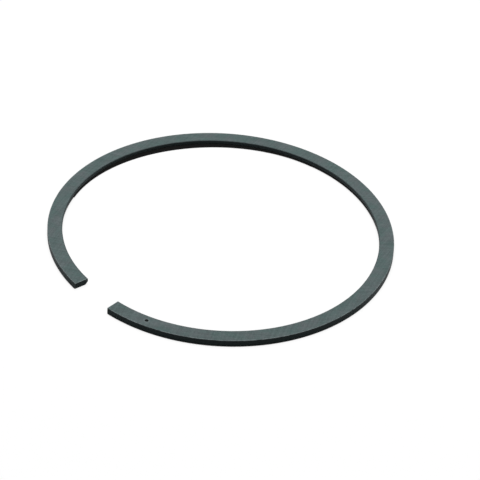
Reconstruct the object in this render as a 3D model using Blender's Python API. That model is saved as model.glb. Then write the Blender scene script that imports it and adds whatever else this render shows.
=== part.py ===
"""Compression piston ring of cast iron, modelled in its free shape.

The ring is a split band of one section, sprung open as it is before it is fitted. It lies flat
on its lower side, with its gap towards -Y. The origin is the middle of its box, on the surface
that it lies on.
"""

import math

import bmesh
import bpy
import numpy as np

MM = 0.001

# The cylinder and the ring's section
BORE_DIAMETER = 101.6 * MM
RADIAL_WALL = 4.56 * MM
AXIAL_HEIGHT = 1.98 * MM

# The gap between the ends, in the bore and sprung open
FITTED_GAP = 0.40 * MM
FREE_GAP = 14.2 * MM

# The running face leans inwards towards the top, so that its lower edge touches the cylinder
FACE_TAPER = math.radians(1.0)

# The lower inner corner is cut away, and the other corners and the edges of the ends are rounded
INNER_BEVEL = 0.90 * MM
BEVEL_ROUND = 0.35 * MM
INNER_TOP_ROUND = 0.22 * MM
OUTER_TOP_ROUND = 0.12 * MM
RUNNING_EDGE_ROUND = 0.08 * MM
END_ROUND = 0.20 * MM

# The pip, a punched dimple that marks the side to face the crown of the piston
PIP_DIAMETER = 1.20 * MM
PIP_DEPTH = 0.35 * MM
PIP_TIP_DIAMETER = 0.40 * MM
PIP_FROM_END = 12.2 * MM
PIP_OFF_CENTRE = -0.15 * MM
PIP_SIDES = 20

STATIONS_PER_HALF = 72
ROUND_STEPS = 2
END_STEPS = 3

COATED_IRON = (0.085, 0.108, 0.106, 1.0)


def clear_objects():
    for old in list(bpy.data.objects):
        bpy.data.objects.remove(old, do_unlink=True)


def coated_iron():
    """Phosphate-coated cast iron: dark grey with a green cast, and nearly matt."""
    material = bpy.data.materials.new("coated_iron")
    material.use_nodes = True
    shader = material.node_tree.nodes["Principled BSDF"]
    shader.inputs["Base Color"].default_value = COATED_IRON
    shader.inputs["Metallic"].default_value = 0.3
    shader.inputs["Roughness"].default_value = 0.5
    material.diffuse_color = COATED_IRON
    return material


def closed_radius():
    """Radius of the middle of the wall when the ring is closed into the cylinder."""
    return (BORE_DIAMETER - RADIAL_WALL) / 2


def last_angle():
    """Angle from the back to one end, measured on the closed ring."""
    return math.pi - FITTED_GAP / 2 / closed_radius()


def half_line(angles, opening):
    """Middle of the wall from the back to one end, at the given angles of the closed ring.

    A ring that presses evenly on its cylinder has the free curvature
    (1 - opening * (1 + cos angle)) / closed radius, so it is straightest at the back.
    The heading is the integral of that, and the points are the integral of the heading.
    """
    heading = angles - opening * (angles + np.sin(angles))
    middle = (heading[1:] + heading[:-1]) / 2
    steps = np.diff(angles) * closed_radius()
    x = np.concatenate(([0.0], np.cumsum(np.cos(middle) * steps)))
    y = closed_radius() - np.concatenate(([0.0], np.cumsum(np.sin(middle) * steps)))
    return x, y, heading


def opening_factor(angles):
    """The opening that leaves the free gap between the two ends, found by halving a range."""
    low, high = 0.0, 0.25
    for _ in range(50):
        middle = (low + high) / 2
        x, _, _ = half_line(angles, middle)
        if 2 * x[-1] < FREE_GAP:
            low = middle
        else:
            high = middle
    return (low + high) / 2


def end_turns():
    """Angles round the quarter circle at an end, from the wall to the end face."""
    return np.linspace(0.0, math.pi / 2, END_STEPS + 1)[1:]


def station_angles():
    """Even stations from the back to the start of the end's rounding, then some round it."""
    rounded = END_ROUND / closed_radius()
    even = np.linspace(0.0, last_angle() - rounded, STATIONS_PER_HALF)
    return np.append(even, even[-1] + rounded * np.sin(end_turns()))


def eased_corner(before, corner, after, radius):
    """Points of an arc that is tangent to both sides of a corner of the section."""
    to_before = (before - corner) / np.linalg.norm(before - corner)
    to_after = (after - corner) / np.linalg.norm(after - corner)
    half = math.acos(float(np.clip(to_before @ to_after, -1.0, 1.0))) / 2
    bisector = (to_before + to_after) / np.linalg.norm(to_before + to_after)
    centre = corner + bisector * radius / math.sin(half)
    sweep = math.pi - 2 * half
    across = to_before - (to_before @ bisector) * bisector
    across = across / np.linalg.norm(across)
    turns = np.linspace(sweep / 2, -sweep / 2, ROUND_STEPS + 1)
    return [centre + radius * (np.sin(turn) * across - np.cos(turn) * bisector) for turn in turns]


def section():
    """Outline of the section: outwards from the middle of the wall, and upwards."""
    lean = AXIAL_HEIGHT * math.tan(FACE_TAPER)
    outer = RADIAL_WALL / 2
    inner = -RADIAL_WALL / 2
    corners = [
        (outer, 0.0, RUNNING_EDGE_ROUND),
        (outer - lean, AXIAL_HEIGHT, OUTER_TOP_ROUND),
        (inner, AXIAL_HEIGHT, INNER_TOP_ROUND),
        (inner, INNER_BEVEL, BEVEL_ROUND),
        (inner + INNER_BEVEL, 0.0, BEVEL_ROUND),
    ]
    points = []
    for place, (across, up, radius) in enumerate(corners):
        corner = np.array((across, up))
        before = np.array(corners[place - 1][:2])
        after = np.array(corners[(place + 1) % len(corners)][:2])
        points.extend(eased_corner(before, corner, after, radius))
    return np.array(points)


def side_losses():
    """What the rounding of the ends takes off each side of the section, at every station."""
    loss = END_ROUND * (1 - np.cos(end_turns()))
    return np.concatenate((loss[::-1], np.zeros(2 * STATIONS_PER_HALF - 1), loss))


def ring_line():
    """The whole middle line, from the end at -X round the back to the end at +X."""
    angles = station_angles()
    x, y, heading = half_line(angles, opening_factor(angles))
    line = np.column_stack((np.append(-x[:0:-1], x), np.append(y[:0:-1], y)))
    outward = np.append(-heading[:0:-1], heading)
    return line, np.column_stack((np.sin(outward), np.cos(outward)))


def band_points(line, outward):
    """The section carried along the middle line: one row of points for each station."""
    middle = np.array((0.0, AXIAL_HEIGHT / 2))
    size = np.array((RADIAL_WALL, AXIAL_HEIGHT))
    shares = 1 - 2 * side_losses()[:, np.newaxis, np.newaxis] / size
    sections = middle + (section() - middle) * shares
    across = sections[:, :, :1]
    plan = line[:, np.newaxis] + across * outward[:, np.newaxis]
    return np.concatenate((plan, sections[:, :, 1:]), axis=2)


def box_middle(points):
    """Middle of the ring's box in plan, which becomes the origin."""
    plan = points[:, :, :2].reshape(-1, 2)
    return (plan.max(axis=0) + plan.min(axis=0)) / 2


def band_mesh(points):
    """Faces between the rows of points, with one more over each end."""
    mesh = bmesh.new()
    rows = [[mesh.verts.new(point) for point in row] for row in points]
    for near, far in zip(rows, rows[1:]):
        for place in range(len(near)):
            mesh.faces.new((near[place - 1], near[place], far[place], far[place - 1]))
    mesh.faces.new(rows[0])
    mesh.faces.new(rows[-1])
    bmesh.ops.recalc_face_normals(mesh, faces=mesh.faces)
    data = bpy.data.meshes.new("piston_ring")
    mesh.to_mesh(data)
    mesh.free()
    data.shade_smooth()
    data.set_sharp_from_angle(angle=math.radians(30))
    return data


def pip_place(line, outward):
    """Point of the pip on the upper side, measured along the wall from the end at +X."""
    steps = np.linalg.norm(np.diff(line, axis=0), axis=1)
    from_start = np.concatenate(([0.0], np.cumsum(steps)))
    along = from_start[-1] - PIP_FROM_END
    x, y = (np.interp(along, from_start, line[:, axis]) for axis in (0, 1))
    away_x, away_y = (np.interp(along, from_start, outward[:, axis]) for axis in (0, 1))
    return x + PIP_OFF_CENTRE * away_x, y + PIP_OFF_CENTRE * away_y, AXIAL_HEIGHT


def pip_cutter(place):
    """A blunt cone, point down, as deep again above the upper side as it is below it."""
    slope = (PIP_DIAMETER - PIP_TIP_DIAMETER) / 2 / PIP_DEPTH
    mesh = bmesh.new()
    bmesh.ops.create_cone(
        mesh,
        cap_ends=True,
        segments=PIP_SIDES,
        radius1=PIP_TIP_DIAMETER / 2,
        radius2=PIP_DIAMETER / 2 + slope * PIP_DEPTH,
        depth=2 * PIP_DEPTH,
    )
    data = bpy.data.meshes.new("pip_cutter")
    mesh.to_mesh(data)
    mesh.free()
    cutter = bpy.data.objects.new("pip_cutter", data)
    cutter.location = place
    cutter.hide_render = True
    cutter.display_type = "WIRE"
    bpy.context.scene.collection.objects.link(cutter)
    return cutter


def build():
    clear_objects()
    line, outward = ring_line()
    line = line - box_middle(band_points(line, outward))
    ring = bpy.data.objects.new("piston_ring", band_mesh(band_points(line, outward)))
    ring.data.materials.append(coated_iron())
    bpy.context.scene.collection.objects.link(ring)
    cut = ring.modifiers.new("pip", "BOOLEAN")
    cut.operation = "DIFFERENCE"
    cut.solver = "EXACT"
    cut.object = pip_cutter(pip_place(line, outward))


build()
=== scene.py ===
# %% [markdown]
# # A piston ring, coated and ground
#
# This lesson dresses one compression piston ring: a split band of cast iron, sprung open as it
# is before it goes into an engine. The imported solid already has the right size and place. What
# it lacks is fine form and finish. So the lesson makes the band again as one fine surface, and
# then colours it with nodes alone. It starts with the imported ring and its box.

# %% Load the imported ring
import math

import bpy
import numpy as np
from mathutils import Matrix, Vector


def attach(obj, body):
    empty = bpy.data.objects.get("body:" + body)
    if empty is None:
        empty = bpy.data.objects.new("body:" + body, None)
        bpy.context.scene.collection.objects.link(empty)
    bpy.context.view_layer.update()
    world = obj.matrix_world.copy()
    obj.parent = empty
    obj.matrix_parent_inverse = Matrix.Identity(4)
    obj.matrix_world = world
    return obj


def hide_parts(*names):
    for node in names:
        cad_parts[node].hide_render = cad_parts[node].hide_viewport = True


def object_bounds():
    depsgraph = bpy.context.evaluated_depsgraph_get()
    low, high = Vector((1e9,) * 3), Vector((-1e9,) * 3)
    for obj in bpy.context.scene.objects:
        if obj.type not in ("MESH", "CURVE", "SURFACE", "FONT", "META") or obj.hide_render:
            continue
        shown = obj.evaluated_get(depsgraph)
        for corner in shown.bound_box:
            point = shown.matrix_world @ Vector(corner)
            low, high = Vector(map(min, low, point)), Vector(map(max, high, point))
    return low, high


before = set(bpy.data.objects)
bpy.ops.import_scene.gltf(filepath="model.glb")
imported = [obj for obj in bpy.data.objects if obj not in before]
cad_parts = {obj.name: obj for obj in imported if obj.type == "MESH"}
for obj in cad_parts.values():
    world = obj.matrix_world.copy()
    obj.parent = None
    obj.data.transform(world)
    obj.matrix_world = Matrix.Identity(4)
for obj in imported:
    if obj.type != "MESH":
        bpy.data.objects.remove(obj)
cad_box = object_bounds()
MM = 0.001
print("packed ring, width, depth and height in mm:",
      [round((high - low) / MM, 3) for low, high in zip(*cad_box)])

# %% [markdown]
# ## The view
#
# A flat round thing in a photograph gives its own camera away, because its near and far sides
# shrink by different amounts. The same shape comes from a long lens about 0.6 m away, a little
# under 37 degrees above the table. The camera is built from angles, a distance and the point
# that it looks at, so that each can be changed by itself. A small roll lifts the right side.

# %% The camera
VIEW_AZIMUTH = math.radians(45.09)
VIEW_ELEVATION = math.radians(36.742)
VIEW_ROLL = math.radians(3.494)
VIEW_DISTANCE = 617.1 * MM
VIEW_AIM = Vector((5.69 * MM, 2.063 * MM, 0.0))
LENS_MM = 151.4
SENSOR_MM = 36.0
NEAREST_SEEN = 10 * MM


def looking_at(aim, place):
    """The matrix of a camera or lamp at that place whose own -Z points at the aim."""
    turn = (aim - place).to_track_quat("-Z", "Y").to_matrix().to_4x4()
    return Matrix.Translation(place) @ turn


def on_sphere(aim, azimuth, elevation, distance):
    """The point at that distance from the aim: azimuth 0 is towards -Y, and it turns to +X."""
    level = distance * math.cos(elevation)
    return aim + Vector((math.sin(azimuth) * level, -math.cos(azimuth) * level,
                         math.sin(elevation) * distance))


camera_data = bpy.data.cameras.new("camera")
camera_data.lens = LENS_MM
camera_data.sensor_width = SENSOR_MM
camera_data.clip_start = NEAREST_SEEN
camera_data.dof.use_dof = False
camera = bpy.data.objects.new("camera", camera_data)
viewpoint = on_sphere(VIEW_AIM, VIEW_AZIMUTH, VIEW_ELEVATION, VIEW_DISTANCE)
camera.matrix_world = looking_at(VIEW_AIM, viewpoint) @ Matrix.Rotation(VIEW_ROLL, 4, "Z")
bpy.context.scene.collection.objects.link(camera)
bpy.context.scene.camera = camera
print("camera at, in mm:", [round(value / MM, 1) for value in camera.matrix_world.translation])

# %% [markdown]
# ## Nodes in few words
#
# A material is a graph of nodes. These helpers make a node, set its values and join its inputs
# in one line each, so that the graphs below stay short enough to read.

# %% Helpers for nodes


def node(tree, kind, sockets=None, **settings):
    """A new node: settings are its own values, and sockets are its inputs or links to them."""
    made = tree.nodes.new(kind)
    for name, value in settings.items():
        setattr(made, name, value)
    for name, value in (sockets or {}).items():
        if isinstance(value, bpy.types.NodeSocket):
            tree.links.new(value, made.inputs[name])
        else:
            made.inputs[name].default_value = value
    return made


def maths(tree, operation, first, second=0.0):
    """The result of one Math node."""
    return node(tree, "ShaderNodeMath", {0: first, 1: second}, operation=operation).outputs[0]


def vector_maths(tree, operation, first, second=(0.0, 0.0, 0.0), result="Vector"):
    """The result of one Vector Math node, which is called Value when it is a plain number."""
    sockets = {0: first, 1: second}
    return node(tree, "ShaderNodeVectorMath", sockets, operation=operation).outputs[result]


def ranged(tree, value, low, high, new_low=0.0, new_high=1.0):
    """The value's place between low and high, carried over to the new range and kept inside it."""
    sockets = {0: value, 1: low, 2: high, 3: new_low, 4: new_high}
    return node(tree, "ShaderNodeMapRange", sockets).outputs[0]


def own_place(tree):
    """Position in the object's own frame, in metres."""
    return node(tree, "ShaderNodeTexCoord").outputs["Object"]


def attribute(tree, name):
    """A number painted on the points, or 0 where there is none."""
    return node(tree, "ShaderNodeAttribute", attribute_name=name).outputs["Fac"]


def empty_material(name):
    """A material with no nodes yet."""
    material = bpy.data.materials.new(name)
    material.use_nodes = True
    material.node_tree.nodes.clear()
    return material


print("node helpers ready")

# %% [markdown]
# ## The table
#
# The ring lies on a plain white table. Black and grey parts look flat when a white table throws
# light up their sides. So the table's paint is only a grey that catches the soft shadow, and a
# glow makes it white. A Light Path node shows that glow to the camera, to mirrors and to glass
# alone, so it puts no light on the ring.
#
# A glow takes no shadow, so the ring would seem to float. An Ambient Occlusion node mends that:
# it tells how far the table is shut in by what stands near it, and both the glow and the paint
# are taken away close under the ring. The recess below the inner bevel goes dark in this way,
# and the open gap has no shade. The node judges by a handful of rays, and more of them give the
# shade a crisper edge. Where it is long, points of the table carry it as a number called cast,
# which is made further on.

# %% Shade the table under the ring
SHADE_RAYS = 48
CONTACT_REACH = 1.0 * MM
CONTACT_LEAN = (-0.35, 0.35, 0.87)
SHUT_IN, OPEN_ENOUGH = 0.45, 0.53
DEEPEST = 0.989
HALF_GAP = 7.4 * MM


def outside_the_gap(tree, place):
    """0 on the table between the ring's two ends, else 1."""
    x, y, _ = node(tree, "ShaderNodeSeparateXYZ", {0: place}).outputs
    between = maths(tree, "LESS_THAN", maths(tree, "ABSOLUTE", x), HALF_GAP)
    in_front = maths(tree, "LESS_THAN", y, 0.0)
    return maths(tree, "SUBTRACT", 1.0, maths(tree, "MULTIPLY", between, in_front))


def contact_shade(tree):
    """0 on the open table, and nearly 1 right under the ring's edges or where it is cast."""
    lean = node(tree, "ShaderNodeCombineXYZ", dict(enumerate(CONTACT_LEAN))).outputs[0]
    openness = node(tree, "ShaderNodeAmbientOcclusion",
                    {"Distance": CONTACT_REACH, "Normal": lean}, samples=SHADE_RAYS).outputs["AO"]
    shade = ranged(tree, openness, SHUT_IN, OPEN_ENOUGH, DEEPEST, 0.0)
    shade = maths(tree, "MULTIPLY", shade, outside_the_gap(tree, own_place(tree)))
    return maths(tree, "MAXIMUM", shade, attribute(tree, "cast"))


print("the shade reaches", CONTACT_REACH / MM, "mm")

# %% Make the table
TABLE_SIZE = 3.0
TABLE_PAINT = 0.16
TABLE_GLOW = 0.86


def sees_background(tree):
    """1 for the rays of the camera, mirrors and glass, which see the background, else 0."""
    path = node(tree, "ShaderNodeLightPath")
    glossy = maths(tree, "MAXIMUM", path.outputs["Is Camera Ray"], path.outputs["Is Glossy Ray"])
    return maths(tree, "MAXIMUM", glossy, path.outputs["Is Transmission Ray"])


def table_paint():
    """Grey paint, and a glow for the rays that see the background, both less where shaded."""
    material = empty_material("table_white")
    tree = material.node_tree
    open_share = maths(tree, "SUBTRACT", 1.0, contact_shade(tree))
    grey = maths(tree, "MULTIPLY", open_share, TABLE_PAINT)
    paint = node(tree, "ShaderNodeBsdfDiffuse", {"Color": grey})
    glow_share = maths(tree, "MULTIPLY", sees_background(tree), open_share)
    strength = maths(tree, "MULTIPLY", glow_share, TABLE_GLOW)
    glow = node(tree, "ShaderNodeEmission", {"Strength": strength})
    both = node(tree, "ShaderNodeAddShader", {0: paint.outputs[0], 1: glow.outputs[0]})
    node(tree, "ShaderNodeOutputMaterial", {"Surface": both.outputs[0]})
    return material


half = TABLE_SIZE / 2
table_mesh = bpy.data.meshes.new("table")
table_corners = [(-half, -half, 0), (half, -half, 0), (half, half, 0), (-half, half, 0)]
table_mesh.from_pydata(table_corners, [], [(0, 1, 2, 3)])
table_mesh.materials.append(table_paint())
table = bpy.data.objects.new("table", table_mesh)
bpy.context.scene.collection.objects.link(table)
print("table", TABLE_SIZE, "m square")

# %% [markdown]
# ## The light
#
# One wide softbox hangs over the table and a little behind the ring, as in a product studio. It
# lights the flat side evenly and leaves the walls that face the camera dark, which is what draws
# the ring. A dim room fills in from all round. The power is set so that a colour on the flat
# side renders about as it is written.

# %% Hang the softbox
ROOM_LIGHT = 0.06
SOFTBOX_SIZE = 0.9
SOFTBOX_WATTS = 13.6
SOFTBOX_PLACE = Vector((-0.22, 0.22, 1.06))


def room():
    """A world that is dim as a light, and white to the rays that see the background."""
    world = bpy.data.worlds.new("room")
    world.use_nodes = True
    tree = world.node_tree
    tree.nodes.clear()
    seen = maths(tree, "MULTIPLY", sees_background(tree), 1.0 - ROOM_LIGHT)
    strength = maths(tree, "ADD", seen, ROOM_LIGHT)
    light = node(tree, "ShaderNodeBackground", {"Color": (1, 1, 1, 1), "Strength": strength})
    node(tree, "ShaderNodeOutputWorld", {"Surface": light.outputs[0]})
    return world


def square_lamp(name, size, watts, place):
    """A square area lamp that faces the ring."""
    data = bpy.data.lights.new(name, "AREA")
    data.shape = "SQUARE"
    data.size = size
    data.energy = watts
    lamp = bpy.data.objects.new(name, data)
    lamp.matrix_world = looking_at(Vector(), place)
    bpy.context.scene.collection.objects.link(lamp)
    return lamp


bpy.context.scene.world = room()
square_lamp("softbox", SOFTBOX_SIZE, SOFTBOX_WATTS, SOFTBOX_PLACE)
bpy.context.scene.view_settings.view_transform = "Standard"
print("softbox of", SOFTBOX_WATTS, "W, room at", ROOM_LIGHT)

# %% [markdown]
# ## Measure the band
#
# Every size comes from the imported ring. Its corners right at the back, where x is nought, are
# one cut through the band. They give the height, the wall, the lean of the running face, which
# makes the lower edge touch the cylinder first, and the bevel at the lower inner corner, which
# lets the ring twist a little as it works. An arc in a corner begins short of the corner itself,
# by its radius times the tangent of half the turn, so the bevel is read from where its arc ends.

# %% Take the sizes of the cut
SAME_PLACE_DIGITS = 7
CORNER_REACH = 0.01 * MM
BEVEL_ROUND = 0.35 * MM
BEVEL_TURN = math.radians(45)

cad_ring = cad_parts["piston_ring"]
cad_points = np.empty((len(cad_ring.data.vertices), 3), np.float32)
cad_ring.data.vertices.foreach_get("co", cad_points.ravel())
cad_points = np.unique(cad_points.round(SAME_PLACE_DIGITS), axis=0)
at_back = (np.abs(cad_points[:, 0]) < CORNER_REACH) & (cad_points[:, 1] > 0)
cut = cad_points[at_back, 1:]
height = cut[:, 1].max()
outer_side = cut[cut[:, 0] > cut[:, 0].mean()]
outer_side = outer_side[np.argsort(outer_side[:, 1])]
longest = np.argmax(np.diff(outer_side[:, 1]))
low_corner, high_corner = outer_side[longest:longest + 2]
face_slope = (low_corner[0] - high_corner[0]) / (high_corner[1] - low_corner[1])
inner_wall = cut[cut[:, 0] < cut[:, 0].min() + CORNER_REACH]
wall = low_corner[0] + low_corner[1] * face_slope - inner_wall[0, 0]
outermost = cut[:, 0].max() - inner_wall[0, 0] - wall / 2
bevel = inner_wall[:, 1].min() - BEVEL_ROUND * math.tan(BEVEL_TURN / 2)
print(f"height {height / MM:.3f}, wall {wall / MM:.3f}, bevel {bevel / MM:.3f} mm,",
      f"running face leans {math.degrees(math.atan(face_slope)):.2f} degrees")

# %% [markdown]
# ## The free shape
#
# A ring that was simply a circle with a piece cut out would press unevenly. A real one is made
# so that it presses the same all round once it is squeezed into its cylinder. Sprung open, its
# curve is then flattest at the back, and the formula below gives it. Two numbers fix it: the
# radius when closed, and how far it opens. They are found by bettering a guess a few times, so
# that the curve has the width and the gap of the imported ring.

# %% Find the free shape
FITTED_GAP = 0.40 * MM
END_ROUND = 0.20 * MM
LINE_STEPS = 8000
FIRST_OPENING = 0.03


def free_line(radius, opening):
    """Middle of the wall, sampled from one end round the back to the other.

    With t the angle from the back on the closed ring, the direction of the line there is
    t - opening * (t + sin t), and the line is the running sum of short steps that way.
    """
    last = math.pi - FITTED_GAP / 2 / radius
    angle = np.linspace(-last, last, LINE_STEPS + 1)
    heading = angle - opening * (angle + np.sin(angle))
    middle = (heading[1:] + heading[:-1]) / 2
    step = radius * 2 * last / LINE_STEPS
    x = np.append(0.0, np.cumsum(np.cos(middle) * step))
    y = np.append(0.0, np.cumsum(-np.sin(middle) * step))
    along = radius * angle
    return along, x - x[-1] / 2, y, heading


def width_and_gap(radius, opening):
    """Width of the ring, and the narrowest place between its two ends."""
    _, x, _, heading = free_line(radius, opening)
    width = 2 * (x + outermost * np.sin(heading)).max()
    gap = 2 * (x[-1] - (wall / 2 - END_ROUND) * np.sin(heading[-1]))
    return np.array((width, gap))


def better_guess(measure, start, target, nudge=1e-4, rounds=6):
    """Values whose measures are the target.

    Each round nudges every value to see how the measures change, and solves those slopes for
    the change that is still needed.
    """
    guess = np.array(start)
    for _ in range(rounds):
        now = measure(*guess)
        changed = [measure(*(guess + step)) - now for step in np.eye(len(guess)) * nudge]
        guess = guess + np.linalg.solve(np.transpose(changed) / nudge, target - now)
    return guess


cad_width = cad_box[1][0] - cad_box[0][0]
cad_gap = 2 * np.abs(cad_points[cad_points[:, 1] < 0, 0]).min()
closed_radius, opening = better_guess(width_and_gap, (cad_width / 2, FIRST_OPENING),
                                      (cad_width, cad_gap))
print(f"closed radius {closed_radius / MM:.3f} mm, opening {opening:.5f},",
      f"gap {cad_gap / MM:.2f} mm")

# %% [markdown]
# ## The pip
#
# A punched dimple marks the side that faces the crown of the piston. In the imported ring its
# corners are the only ones above the lower side that lie well inside the wall, so they can be
# picked out by their distance from the middle line. Every eighth sample of that line is close
# enough to its neighbours for the search.

# %% Find the pip
WELL_INSIDE = 0.6 * MM
WELL_ABOVE = 0.25
SPARSE = slice(None, None, 8)

along, line_x, line_y, heading = free_line(closed_radius, opening)
outward = np.column_stack((np.sin(heading), np.cos(heading)))
line = np.column_stack((line_x, line_y))
line[:, 1] += cad_box[1][1] - (line + outermost * outward)[:, 1].max()
upper = cad_points[cad_points[:, 2] > height * WELL_ABOVE]
apart = upper[:, np.newaxis, :2] - line[SPARSE]
nearest = np.argmin((apart ** 2).sum(axis=2), axis=1)
aside = (apart[np.arange(len(upper)), nearest] * outward[SPARSE][nearest]).sum(axis=1)
in_pip = np.abs(aside) < wall / 2 - WELL_INSIDE
pip_points = upper[in_pip]
pip_centre = (pip_points.max(axis=0) + pip_points.min(axis=0))[:2] / 2
pip_radius = np.linalg.norm(pip_points[:, :2] - pip_centre, axis=1).max()
pip_depth = height - pip_points[:, 2].min()
pip_along = along[SPARSE][nearest[in_pip]].mean()
pip_aside = aside[in_pip].mean()
print(f"pip radius {pip_radius / MM:.2f}, depth {pip_depth / MM:.2f} mm, at {pip_centre / MM}")

# %% [markdown]
# ## The shade under the far wall
#
# The wall on the lamp's side keeps the light off the table in front of it. Its shade has a crisp
# edge, and is a little over a millimetre long where the wall stands square to the light. A lamp
# small enough to draw such an edge would make hard shadows everywhere else. So a strip of the
# same table carries this shade, as a number on its points. The strip lies a hair above the
# table, starts under the bevel, and ends just past the edge of the shade.

# %% Work out the strip of shade
SHADE_FROM = (-0.90, 0.44)
SHADE_STARTS = 0.58
SHADE_SHORTEST = 0.03 * MM
SHADE_GROWTH = 6.8 * MM
SHADE_BLUR = 0.10 * MM
SHADE_LIFT = 0.01 * MM
SHADE_STATIONS = slice(None, None, 20)


def shade_strip():
    """Points of the strip, three across it: under the bevel, and on both sides of the edge.

    The edge lies in from the inner wall by a length that grows as (facing - start)^2, where
    facing, from 0 to 1, is how squarely the wall stands towards SHADE_FROM.
    """
    facing = outward[SHADE_STATIONS] @ SHADE_FROM
    shaded = facing > SHADE_STARTS
    length = SHADE_SHORTEST + SHADE_GROWTH * (facing[shaded] - SHADE_STARTS) ** 2
    inwards = np.column_stack((np.full(len(length), -bevel), length - SHADE_BLUR / 2,
                               length + SHADE_BLUR / 2))
    middle, away = line[SHADE_STATIONS][shaded], outward[SHADE_STATIONS][shaded]
    plan = middle[:, np.newaxis] - (wall / 2 + inwards)[..., np.newaxis] * away[:, np.newaxis]
    return np.concatenate((plan, np.full(plan.shape[:2] + (1,), SHADE_LIFT)), axis=2)


def open_grid_faces(rows, columns):
    """Corner numbers of the faces between rows of points, turned so that they face upwards."""
    number = np.arange(rows * columns).reshape(rows, columns)
    faces = np.stack((number[:-1, :-1], number[:-1, 1:], number[1:, 1:], number[1:, :-1]), axis=-1)
    return faces.reshape(-1, 4)


strip_points = shade_strip()
print("strip of shade:", len(strip_points), "stations")

# %% Lay the strip on the table
strip_faces = open_grid_faces(*strip_points.shape[:2])
strip_mesh = bpy.data.meshes.new("table_shade")
strip_mesh.from_pydata(strip_points.reshape(-1, 3).tolist(), [], strip_faces.tolist())
cast = np.tile((DEEPEST, DEEPEST, 0.0), len(strip_points)).astype(np.float32)
strip_mesh.attributes.new("cast", "FLOAT", "POINT").data.foreach_set("value", cast)
strip_mesh.materials.append(bpy.data.materials["table_white"])
table_shade = bpy.data.objects.new("table_shade", strip_mesh)
bpy.context.scene.collection.objects.link(table_shade)
print("strip laid:", len(strip_faces), "faces")

# %% [markdown]
# ## The section
#
# The cut through the band has five corners. The running edge at the bottom outside is only just
# broken, because it scrapes oil, and the others are eased. Each rounded corner is an arc that
# touches both of its sides. The straight runs between the arcs get points where they are needed:
# close together where the pip is, and near the edges, where the finish changes.

# %% Draw the section
RUNNING_EDGE_ROUND = 0.08 * MM
OUTER_TOP_ROUND = 0.12 * MM
INNER_TOP_ROUND = 0.22 * MM
ROUND_STEPS = 6


def corner_arc(before, corner, after, radius):
    """Points of the arc that touches both sides of a corner.

    Its centre lies on the line that halves the corner, radius / sin(half the corner) from it.
    """
    sides = np.array((before - corner, after - corner))
    sides /= np.linalg.norm(sides, axis=1)[:, np.newaxis]
    halving = sides.sum(axis=0) / np.linalg.norm(sides.sum(axis=0))
    across = sides[0] - sides[0] @ halving * halving
    across /= np.linalg.norm(across)
    half_corner = math.acos(float(np.clip(sides[0] @ halving, -1, 1)))
    turn = np.linspace(1, -1, ROUND_STEPS + 1)[:, np.newaxis] * (math.pi / 2 - half_corner)
    centre = corner + halving * radius / math.sin(half_corner)
    return centre + radius * (np.sin(turn) * across - np.cos(turn) * halving)


lean = height * face_slope
inner, outer = -wall / 2, wall / 2
corners = np.array([(outer, 0), (outer - lean, height), (inner, height),
                    (inner, bevel), (inner + bevel, 0)])
rounds = (RUNNING_EDGE_ROUND, OUTER_TOP_ROUND, INNER_TOP_ROUND, BEVEL_ROUND, BEVEL_ROUND)
corners_before, corners_after = np.roll(corners, 1, axis=0), np.roll(corners, -1, axis=0)
arcs = [corner_arc(*about) for about in zip(corners_before, corners, corners_after, rounds)]
print("arcs of", [round(float(radius / MM), 2) for radius in rounds], "mm")

# %% Join the arcs into one outline
FINE = 0.05 * MM
EDGE_SPACING = 0.10 * MM
COARSE = 0.30 * MM
EDGE_REACH = 0.35 * MM
PIP_REACH = 1.4 * pip_radius
PIP_SIDE, UNDERSIDE = 1, 4


def graded(marks, spacings):
    """Values from the first mark to the last, with its own even spacing between each pair."""
    runs = [np.linspace(low, high, math.ceil((high - low) / spacing) + 1)[:-1]
            for low, high, spacing in zip(marks, marks[1:], spacings)]
    return np.append(np.concatenate(runs), marks[-1])


def straight(start, end, marks, spacings):
    """Points strictly between two ends, graded by how far along they are."""
    length = np.linalg.norm(end - start)
    share = graded(marks(length), spacings)[1:-1, np.newaxis] / length
    return start + (end - start) * share


def edge_marks(length):
    """Fine near both edges and coarse between them."""
    near = min(EDGE_REACH, length / 3)
    return (0.0, near, length - near, length)


def pip_marks(length):
    """As edge_marks, with a fine stretch across the pip, measured from the outer side."""
    middle = arcs[PIP_SIDE][-1][0] - pip_aside
    return (0.0, EDGE_REACH, middle - PIP_REACH, middle + PIP_REACH, length - EDGE_REACH, length)


outline, is_flat = [], []
for side, (arc, next_arc) in enumerate(zip(arcs, arcs[1:] + arcs[:1])):
    if side == PIP_SIDE:
        marks, spacings = pip_marks, (EDGE_SPACING, COARSE, FINE, COARSE, EDGE_SPACING)
    else:
        marks, spacings = edge_marks, (EDGE_SPACING, COARSE, EDGE_SPACING)
    run = straight(arc[-1], next_arc[0], marks, spacings)
    outline += [arc, run]
    is_flat += [False] * ROUND_STEPS + [side in (PIP_SIDE, UNDERSIDE)] * (len(run) + 1)
outline = np.concatenate(outline)
is_flat = np.array(is_flat)
print(len(outline), "points round the section,", int(is_flat.sum()), "faces of them flat")

# %% [markdown]
# ## Carry the section round
#
# The band is a surface of two parameters: how far along the middle line, and which point of the
# outline. The stations along it are close together at the pip and at the ends. There the last
# few follow a quarter circle, and the section shrinks by what that circle takes off, which
# breaks the four edges of each end. A file or a stone breaks them only a little on a real ring,
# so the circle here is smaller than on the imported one.

# %% Place the stations
STATION_SPACING = 0.55 * MM
END_STEPS = 8
END_BREAK = 0.08 * MM

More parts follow.
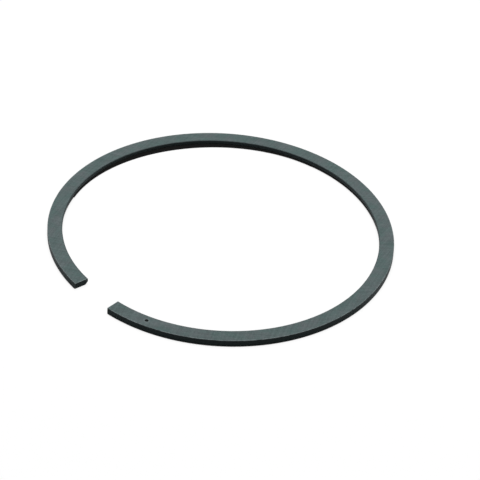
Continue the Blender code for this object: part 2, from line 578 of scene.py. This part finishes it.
half_length = along[-1]
quarter = np.linspace(0, math.pi / 2, END_STEPS + 1)[1:]
tail = half_length - END_BREAK + END_BREAK * np.sin(quarter)
tail_loss = END_BREAK * (1 - np.cos(quarter))
body = half_length - END_BREAK
station_marks = (-body, EDGE_REACH - body, pip_along - PIP_REACH, pip_along + PIP_REACH,
                 body - EDGE_REACH, body)
stations = graded(station_marks,
                  (EDGE_SPACING, STATION_SPACING, FINE, STATION_SPACING, EDGE_SPACING))
loss = np.concatenate((tail_loss[::-1], np.zeros(len(stations)), tail_loss))
stations = np.concatenate((-tail[::-1], stations, tail))
print(len(stations), "stations over", round(2 * half_length / MM, 1), "mm of wall")

# %% Work out the points
PIP_TIP_SHARE = 1 / 3


def along_line(values):
    """The middle line's values at the stations, read between its own samples."""
    return np.column_stack([np.interp(stations, along, column) for column in values.T])


def band():
    """Points of the band: the middle line, plus the outline's own reach outwards and upwards.

    At the ends the outline is drawn in towards its middle by the loss on each side.
    """
    middle = np.array((0.0, height / 2))
    drawn_in = 1 - 2 * loss[:, np.newaxis] / np.array((wall, height))
    sections = middle + (outline - middle) * drawn_in[:, np.newaxis]
    plan = along_line(line)[:, np.newaxis] + sections[..., :1] * along_line(outward)[:, np.newaxis]
    return np.concatenate((plan, sections[..., 1:]), axis=2)


def pip_fall(points):
    """How far down the pip each point lies, from 0 at its rim to 1 on its floor.

    The way in from the rim to the floor is eased at both ends: 3 s^2 - 2 s^3.
    """
    away = np.linalg.norm(points[..., :2] - pip_centre, axis=-1)
    share = np.clip((pip_radius - away) / (pip_radius * (1 - PIP_TIP_SHARE)), 0, 1)
    return np.where(points[..., 2] > height - CORNER_REACH, share ** 2 * (3 - 2 * share), 0.0)


points = band()
pip_share = pip_fall(points)
points[..., 2] -= pip_depth * pip_share
print("points:", points.shape[:2],
      "deepest in the pip:", round((pip_depth * pip_share).max() / MM, 3), "mm")

# %% [markdown]
# ## Paint what wears, and the edge highlights
#
# Handling rubs the coat off the sharp edges first: most at the outer top edge and round the
# ends. The same lighter, barer colour also paints the thin highlight that these rounded edges
# catch from the lamp. So each point carries a number from 0 to 1 that says how near it is to an
# edge that rubs and shines, and another for the rim of the pip. The materials read these numbers
# as attributes. A UV map gives them the distance along the wall and round the section, so that
# tool marks can follow the band.

# %% Nearness to edges
# Wear and painted highlight: how strongly each corner and the ends get the lighter edge colour.
CORNER_RUBS_AND_HIGHLIGHTS = (0.3, 1.0, 0.3, 0.2, 0.2)
END_RUB_AND_HIGHLIGHT = 1.0
WORN_TURN = math.pi / 8
RUB_WIDTH = 0.12 * MM
RIM_WIDTH = 0.10 * MM


def bell(distance, width):
    """1 at no distance, falling to 1/e at one width."""
    return np.exp(-(distance / width) ** 2)


arc_middles = np.array([arc[ROUND_STEPS // 2] for arc in arcs])
from_arcs = np.linalg.norm(outline[:, np.newaxis] - arc_middles, axis=-1)
side_wear_and_highlight = (bell(from_arcs, RUB_WIDTH) * CORNER_RUBS_AND_HIGHLIGHTS).max(axis=1)
past_worn = np.abs(stations) - body - END_BREAK * math.sin(WORN_TURN)
inside_worn = loss - END_BREAK * (1 - math.cos(WORN_TURN))
end_wear_and_highlight = END_RUB_AND_HIGHLIGHT * bell(np.hypot(past_worn, inside_worn), RUB_WIDTH)
edge_wear_and_highlight = 1 - (1 - side_wear_and_highlight) * (1 - end_wear_and_highlight[:, np.newaxis])
from_rim = np.linalg.norm(points[..., :2] - pip_centre, axis=-1) - pip_radius
rim = bell(from_rim - RIM_WIDTH, RIM_WIDTH) * is_flat
print("points that rub:", int((edge_wear_and_highlight > 0.5).sum()), "of", edge_wear_and_highlight.size)

# %% Faces and their finish
FLAT, WALL, END = 0, 1, 2


def quads(rows, columns):
    """Corner numbers of the faces between rows of points whose columns close into a loop."""
    row, column = np.meshgrid(np.arange(rows - 1), np.arange(columns), indexing="ij")
    after = (column + 1) % columns
    corner = np.stack((row * columns + column, row * columns + after,
                       (row + 1) * columns + after, (row + 1) * columns + column), axis=-1)
    return corner.reshape(-1, 4)


def finishes():
    """For each face, which finish it has: the broken edges of the ends count as wall."""
    whole = loss[:-1] + loss[1:] == 0
    along_band = np.where(is_flat & whole[:, np.newaxis], FLAT, WALL)
    return np.append(along_band.ravel(), (END, END)).astype(np.int32)


def wall_uv():
    """For each corner of each quad, its distance along the wall and round the section."""
    sides = np.linalg.norm(np.roll(outline, -1, axis=0) - outline, axis=1)
    around = np.append(0.0, np.cumsum(sides))
    u, v = np.broadcast_arrays(stations[:, np.newaxis], around)
    uv = np.stack((u, v), axis=-1)
    return np.stack((uv[:-1, :-1], uv[:-1, 1:], uv[1:, 1:], uv[1:, :-1]), axis=2).reshape(-1, 2)


print("faces of flat, wall and end:", np.bincount(finishes()).tolist())

# %% Make the mesh


def band_mesh():
    """One closed mesh: the quads of the band, and one flat face over each end."""
    rows, columns = points.shape[:2]
    faces = quads(rows, columns)
    first_end = np.arange(columns)[::-1]
    last_end = np.arange(columns) + (rows - 1) * columns
    corner = np.concatenate((faces.ravel(), first_end, last_end))
    sizes = np.append(np.full(len(faces), 4), (columns, columns))
    end_uv = outline + (wall, 0)
    uv = np.concatenate((wall_uv(), end_uv[::-1], end_uv)).astype(np.float32)
    smooth = np.append(np.ones(len(faces), bool), (False, False))
    mesh = bpy.data.meshes.new("ring_band")
    mesh.vertices.add(rows * columns)
    mesh.vertices.foreach_set("co", points.astype(np.float32).ravel())
    mesh.loops.add(len(corner))
    mesh.loops.foreach_set("vertex_index", corner.astype(np.int32))
    mesh.polygons.add(len(sizes))
    mesh.polygons.foreach_set("loop_start", (np.cumsum(sizes) - sizes).astype(np.int32))
    mesh.polygons.foreach_set("material_index", finishes())
    mesh.uv_layers.new(name="along_wall").uv.foreach_set("vector", uv.ravel())
    for name, values in (("edge", edge_wear_and_highlight), ("pip", pip_share), ("rim", rim)):
        painted = mesh.attributes.new(name, "FLOAT", "POINT")
        painted.data.foreach_set("value", values.astype(np.float32).ravel())
    mesh.update(calc_edges=True)
    mesh.polygons.foreach_set("use_smooth", smooth)
    mesh.validate()
    return mesh


ring = bpy.data.objects.new("ring_band", band_mesh())
bpy.context.scene.collection.objects.link(ring)
ring.data.calc_loop_triangles()
print("ring_band:", len(ring.data.polygons), "faces,", len(ring.data.loop_triangles), "triangles")

# %% [markdown]
# ## The phosphate coat
#
# The iron is phosphated: a bath grows a skin of tiny dark crystals on it, which holds oil while
# the ring beds in. It is nearly matt, grey with a green cast, and it covers every side. The
# crystals grow in clumps, which the eye sees as a fine grain. What differs from side to side is
# the metal under the coat. The upright sides also get a painted shade: their colours are set
# darker to stand for the shade that falls on them. So all finishes share one shader and one
# grain, and each adds the marks of its own tool. Noise seldom strays far from a half, so the
# ranges that read it are narrower than 0 to 1.

# %% Helpers for colours and patterns


def noise(tree, vector, scale=1.0, detail=2.0, crispness=0.5):
    """Noise from 0 to 1, mostly near a half: the crisper, the more its finest part counts."""
    sockets = {"Vector": vector, "Scale": scale, "Detail": detail, "Roughness": crispness}
    return node(tree, "ShaderNodeTexNoise", sockets).outputs[0]


def mixed(tree, share, first, second):
    """A mix of two colours."""
    sockets = {0: share, 6: first, 7: second}
    return node(tree, "ShaderNodeMix", sockets, data_type="RGBA").outputs[2]


def scaled(tree, colour, factor):
    """A colour made lighter or darker."""
    sockets = {0: colour, "Scale": factor}
    return node(tree, "ShaderNodeVectorMath", sockets, operation="SCALE").outputs[0]


print("pattern helpers ready")

# %% The shared coat
CLUMP_SIZE = 0.30 * MM
GRAIN_DETAIL = 3.0
GRAIN_SHADES = (0.84, 1.16)
GRAIN_RELIEF = 0.5
NOISE_SPREAD = (0.3, 0.7)
COAT_ROUGHNESS = (0.50, 0.62)
COAT_GLOSS = 0.06
# Wear and painted highlight: the colour of rubbed edges, set light to stand for their shine as
# well.
BARE_IRON_AND_HIGHLIGHT = (0.25, 0.28, 0.28, 1.0)
RUBBED_SMOOTHER = 0.2
RUB_PATCH = 1.2 * MM
RUB_SPREAD = (0.25, 0.55)
MOST_RUB_AND_HIGHLIGHT = 0.5


def finish_coat(material, colour, marks, mark_depth, wear_and_highlight):
    """Ends a coated material: crystal grain, worn edges with painted highlight, a bump of the
    marks, and the shader.
    """
    tree = material.node_tree
    crystals = noise(tree, own_place(tree), 1 / CLUMP_SIZE, GRAIN_DETAIL)
    colour = scaled(tree, colour, ranged(tree, crystals, *NOISE_SPREAD, *GRAIN_SHADES))
    colour = mixed(tree, wear_and_highlight, colour, BARE_IRON_AND_HIGHLIGHT)
    roughness = ranged(tree, crystals, *NOISE_SPREAD, *COAT_ROUGHNESS)
    smoother = maths(tree, "MULTIPLY", wear_and_highlight, RUBBED_SMOOTHER)
    roughness = maths(tree, "SUBTRACT", roughness, smoother)
    relief = maths(tree, "ADD", marks, maths(tree, "MULTIPLY", crystals, GRAIN_RELIEF))
    bump = node(tree, "ShaderNodeBump", {"Height": relief, "Distance": mark_depth})
    shader = node(tree, "ShaderNodeBsdfPrincipled",
                  {"Base Color": colour, "Roughness": roughness, "Metallic": wear_and_highlight,
                   "Specular IOR Level": COAT_GLOSS, "Normal": bump.outputs[0]})
    node(tree, "ShaderNodeOutputMaterial", {"Surface": shader.outputs[0]})
    return material


def edge_rub_and_highlight(tree):
    """Where the coat rubs through and the edges get a painted highlight: near them, in patches."""
    patches = noise(tree, own_place(tree), 1 / RUB_PATCH, GRAIN_DETAIL)
    patchy = ranged(tree, patches, *RUB_SPREAD)
    # The edge attribute carries both the worn edges and their painted highlight.
    edge = maths(tree, "MULTIPLY", attribute(tree, "edge"), patchy)
    return maths(tree, "MULTIPLY", edge, MOST_RUB_AND_HIGHLIGHT)


print("coat of clumps", CLUMP_SIZE / MM, "mm across")

# %% [markdown]
# ## The ground sides
#
# The top and the underside are ground flat between two wheels that are much larger than the
# ring. Each grain of a wheel draws a fine, long arc over the flat, so the marks are circles
# about centres far outside the ring. Noise that is read in polar coordinates about such a
# centre gives them. Two sets cross, one from each way that the ring lay between the wheels.
# The pip is a narrow hollow, and the shade in it is painted into its colour, nearly black.

# %% Grinding arcs
WHEEL_CENTRES = ((0.28, 0.11, 0.0), (-0.21, 0.24, 0.0))
GRIND_PITCH = 0.60 * MM
GRIND_LENGTH = 25.0 * MM
GRIND_DETAIL = 5.0
GRIND_CRISPNESS = 0.72


def stretched(tree, vector, size):
    """The vector measured in units of the size, which differs by axis."""
    return vector_maths(tree, "DIVIDE", vector, size)


def grinding_arcs(tree, place, centre):
    """Fine arcs about a far centre: noise of the distance from it and of the angle round it."""
    away = vector_maths(tree, "SUBTRACT", place, centre)
    distance = vector_maths(tree, "LENGTH", away, result="Value")
    x, y, _ = node(tree, "ShaderNodeSeparateXYZ", {0: away}).outputs
    angle = maths(tree, "ARCTAN2", y, x)
    polar = node(tree, "ShaderNodeCombineXYZ", {0: distance, 1: angle}).outputs[0]
    size = (GRIND_PITCH, GRIND_LENGTH / math.hypot(*centre[:2]), 1.0)
    return noise(tree, stretched(tree, polar, size), 1.0, GRIND_DETAIL, GRIND_CRISPNESS)


print("grinding arcs", GRIND_PITCH / MM, "mm apart, about", len(WHEEL_CENTRES), "centres")

# %% Ground flats
GROUND_GREEN = (0.086, 0.128, 0.124, 1.0)
GROUND_GREY = (0.110, 0.135, 0.138, 1.0)
CLOUD_SIZE = 3.5 * MM
CLOUD_SPREAD = (0.35, 0.65)
GRIND_SPREAD = (0.38, 0.62)
GRIND_SHADES = (0.78, 1.22)
GRIND_DEPTH = 0.004 * MM
# Painted shade: the near-black colour of the pip's hollow.
PIP_PAINTED_SHADE = (0.012, 0.016, 0.016, 1.0)
DARK_BELOW = 0.04
RIM_RUB = 0.2


def ground_flats():
    """Light grey-green flats with crossing arcs, and the pip painted dark with its shade."""
    material = empty_material("ground_flats")
    tree = material.node_tree
    place = own_place(tree)
    clouds = noise(tree, place, 1 / CLOUD_SIZE, GRAIN_DETAIL)
    colour = mixed(tree, ranged(tree, clouds, *CLOUD_SPREAD), GROUND_GREEN, GROUND_GREY)
    first, second = (grinding_arcs(tree, place, centre) for centre in WHEEL_CENTRES)
    both = maths(tree, "MULTIPLY", maths(tree, "ADD", first, second), 0.5)
    colour = scaled(tree, colour, ranged(tree, both, *GRIND_SPREAD, *GRIND_SHADES))
    # The pip's painted shade is mixed in by how far down the hollow a point lies.
    in_pip = ranged(tree, attribute(tree, "pip"), 0.0, DARK_BELOW)
    colour = mixed(tree, in_pip, colour, PIP_PAINTED_SHADE)
    rim_wear = maths(tree, "MULTIPLY", attribute(tree, "rim"), RIM_RUB)
    wear_and_highlight = maths(tree, "MAXIMUM", edge_rub_and_highlight(tree), rim_wear)
    return finish_coat(material, colour, both, GRIND_DEPTH, wear_and_highlight)


ring.data.materials.append(ground_flats())
print("ground flats:", len(ring.data.materials["ground_flats"].node_tree.nodes), "nodes")

# %% [markdown]
# ## The turned walls
#
# The running face and the inside are turned, and the tool leaves a fine thread round them. The
# walls are coloured much darker than the flats, which paints the shade on these upright walls
# into their colour. The marks follow the wall, so they read the UV map: noise that is long along
# it and short across it.

# %% Turned walls
# Painted shade: both wall colours are set darker than the flats to stand for the shade on upright
# walls.
TURNED_DARK_SHADED = (0.038, 0.053, 0.055, 1.0)
TURNED_LIGHT_SHADED = (0.067, 0.090, 0.092, 1.0)
TURNING_PITCH = 0.07 * MM
TURNING_LENGTH = 9.0 * MM
TURNING_DEPTH = 0.004 * MM
TURNING_DETAIL = 3.0


def turned_walls():
    """Walls whose darker colour paints in their shade, with fine lines round them."""
    material = empty_material("turned_walls")
    tree = material.node_tree
    uv = node(tree, "ShaderNodeUVMap", uv_map="along_wall").outputs[0]
    thread = stretched(tree, uv, (TURNING_LENGTH, TURNING_PITCH, 1.0))
    lines = noise(tree, thread, 1.0, TURNING_DETAIL)
    colour = mixed(tree, ranged(tree, lines, *NOISE_SPREAD), TURNED_DARK_SHADED, TURNED_LIGHT_SHADED)
    return finish_coat(material, colour, lines, TURNING_DEPTH, edge_rub_and_highlight(tree))


ring.data.materials.append(turned_walls())
print("turned walls:", len(ring.data.materials["turned_walls"].node_tree.nodes), "nodes")

# %% [markdown]
# ## The cut ends
#
# The gap is cut last, by a thin milling wheel that runs across the wall. It leaves coarser marks
# up and down the end faces. Their colours are set as dark as the walls', with the same painted
# shade for an upright face.

# %% Cut ends
# Painted shade: the end colours are set dark to stand for the shade on these upright faces.
CUT_DARK_SHADED = (0.036, 0.050, 0.052, 1.0)
CUT_LIGHT_SHADED = (0.090, 0.116, 0.116, 1.0)
CUT_PITCH = 0.13 * MM
CUT_LENGTH = 3.0 * MM
CUT_DEPTH = 0.006 * MM


def cut_ends():
    """End faces darkened by painted shade, with marks up and down them."""
    material = empty_material("cut_ends")
    tree = material.node_tree
    uv = node(tree, "ShaderNodeUVMap", uv_map="along_wall").outputs[0]
    marks = noise(tree, stretched(tree, uv, (CUT_PITCH, CUT_LENGTH, 1.0)))
    colour = mixed(tree, ranged(tree, marks, *NOISE_SPREAD), CUT_DARK_SHADED, CUT_LIGHT_SHADED)
    return finish_coat(material, colour, marks, CUT_DEPTH, wear_and_highlight=0.0)


ring.data.materials.append(cut_ends())
print("cut ends:", len(ring.data.materials["cut_ends"].node_tree.nodes), "nodes")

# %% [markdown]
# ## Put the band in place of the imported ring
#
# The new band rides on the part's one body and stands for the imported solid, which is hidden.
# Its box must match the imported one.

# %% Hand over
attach(ring, "root")
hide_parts("piston_ring")
print("width, depth and height in mm, packed:",
      [round((high - low) / MM, 3) for low, high in zip(*cad_box)])
